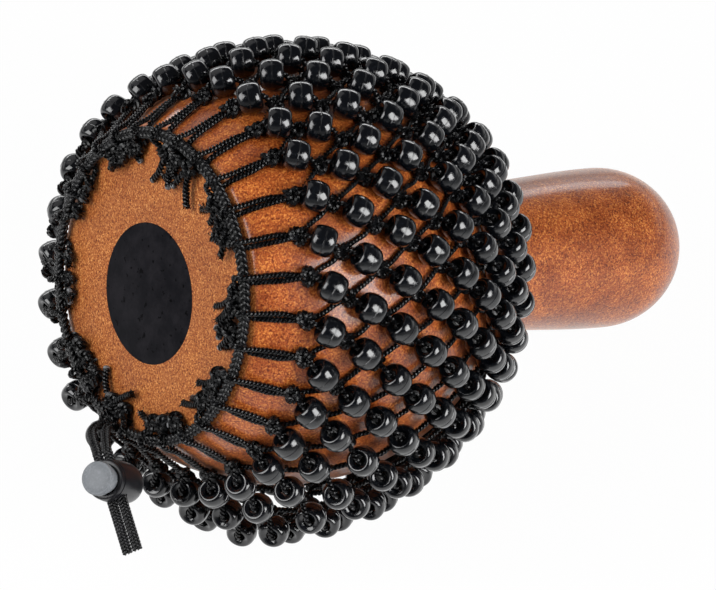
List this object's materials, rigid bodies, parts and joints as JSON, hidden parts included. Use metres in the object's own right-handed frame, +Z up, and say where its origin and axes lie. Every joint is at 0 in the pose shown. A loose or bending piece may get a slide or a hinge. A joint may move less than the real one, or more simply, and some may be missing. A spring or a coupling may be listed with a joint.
{
  "type": "cabasa",
  "caption": "Gourd-shaped shaker with a hollow bulb and a handle, in a loose knotted net of black beads closed by a drawstring with a sprung cord lock.",
  "frame": {"origin": "On the floor, under the middle of the instrument's box without its drawstring ends and lock.", "axes": "+Z up. +X the way the handle points, seen from above; the gourd's axis dips towards the handle's end, which rests on the floor."},
  "size_m": [0.2535, 0.158, 0.1592],
  "materials": {
    "gourd_lacquer": "speckled orange-brown lacquered fibreglass, semi-gloss",
    "base_lacquer": "grained orange-brown fibreglass, satin",
    "bead_black": "glossy black moulded beads on black cord",
    "cord_black": "black braided polyester cord",
    "lock_black": "matte black moulded plastic",
    "button_grey": "matte dark grey moulded plastic",
    "spring_steel": "plain spring wire"
  },
  "bodies": {
    "gourd": {"gourd_shell": "gourd_lacquer", "base_plate": "base_lacquer"},
    "net": {"bead_column_01": "bead_black", "bead_column_02": "bead_black", "bead_column_03": "bead_black", "bead_column_04": "bead_black", "bead_column_05": "bead_black", "bead_column_06": "bead_black", "bead_column_07": "bead_black", "bead_column_08": "bead_black", "bead_column_09": "bead_black", "bead_column_10": "bead_black", "bead_column_11": "bead_black", "bead_column_12": "bead_black", "bead_column_13": "bead_black", "bead_column_14": "bead_black", "bead_column_15": "bead_black", "bead_column_16": "bead_black", "bead_column_17": "bead_black", "bead_column_18": "bead_black", "bead_column_19": "bead_black", "bead_column_20": "bead_black", "bead_column_21": "bead_black", "bead_column_22": "bead_black", "bead_column_23": "bead_black", "bead_column_24": "bead_black", "bead_column_25": "bead_black", "bead_column_26": "bead_black", "bead_column_27": "bead_black", "bead_column_28": "bead_black", "bead_column_29": "bead_black", "neck_collar": "cord_black", "drawstring": "cord_black", "drawstring_tail_a": "cord_black", "drawstring_tail_b": "cord_black"},
    "cord_lock": {"lock_body": "lock_black", "lock_spring": "spring_steel"},
    "lock_button": {"lock_plunger": "button_grey"}
  },
  "joints": [
    {"name": "net_turn", "type": "hinge", "parent": "gourd", "child": "net", "pos_m": [-0.09185, -0.00004, 0.10006], "axis": [0.9279, 0, -0.3728], "continuous": true},
    {"name": "lock_slide", "type": "slide", "parent": "net", "child": "cord_lock", "axis": [-0.1975, -0.848, -0.4917], "range_m": [0, 0.01]},
    {"name": "button_press", "type": "slide", "parent": "cord_lock", "child": "lock_button", "axis": [0.6456, 0.265, -0.7163], "range_m": [0, 0.003], "stiffness_N_per_m": 200, "deforming": ["lock_spring"]}
  ]
}
